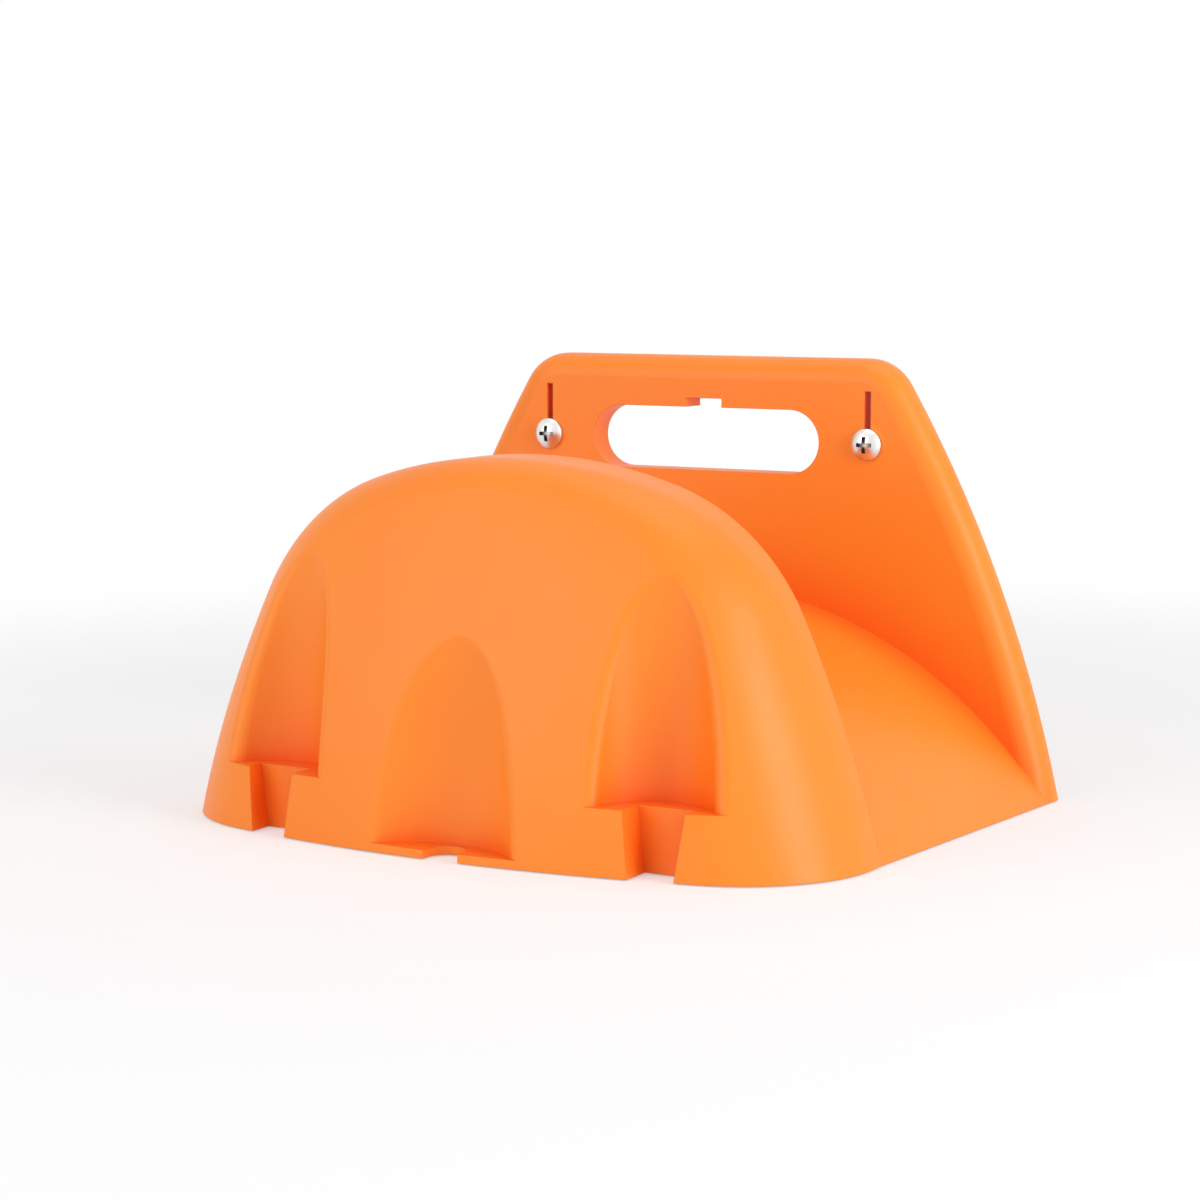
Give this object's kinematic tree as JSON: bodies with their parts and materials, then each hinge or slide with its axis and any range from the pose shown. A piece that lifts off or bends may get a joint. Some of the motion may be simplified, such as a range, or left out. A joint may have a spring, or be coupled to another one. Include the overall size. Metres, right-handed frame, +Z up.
{
  "type": "hose hanger",
  "caption": "Moulded orange plastic wall hanger for a coiled garden hose, with a front shield, nozzle pockets and a handle slot, held by pan-head screws.",
  "frame": {"origin": "on the wall plane, midway between the two screws", "axes": "+Z up, +Y into the wall, -Y towards the front of the shield, +X to the right as seen from the front"},
  "size_m": [0.2486, 0.2075, 0.1409],
  "materials": {
    "orange_plastic": "satin",
    "zinc_screw": "zinc plated"
  },
  "bodies": {
    "root": {"hanger_body": "orange_plastic", "wall_screws": "zinc_screw"}
  },
  "joints": []
}
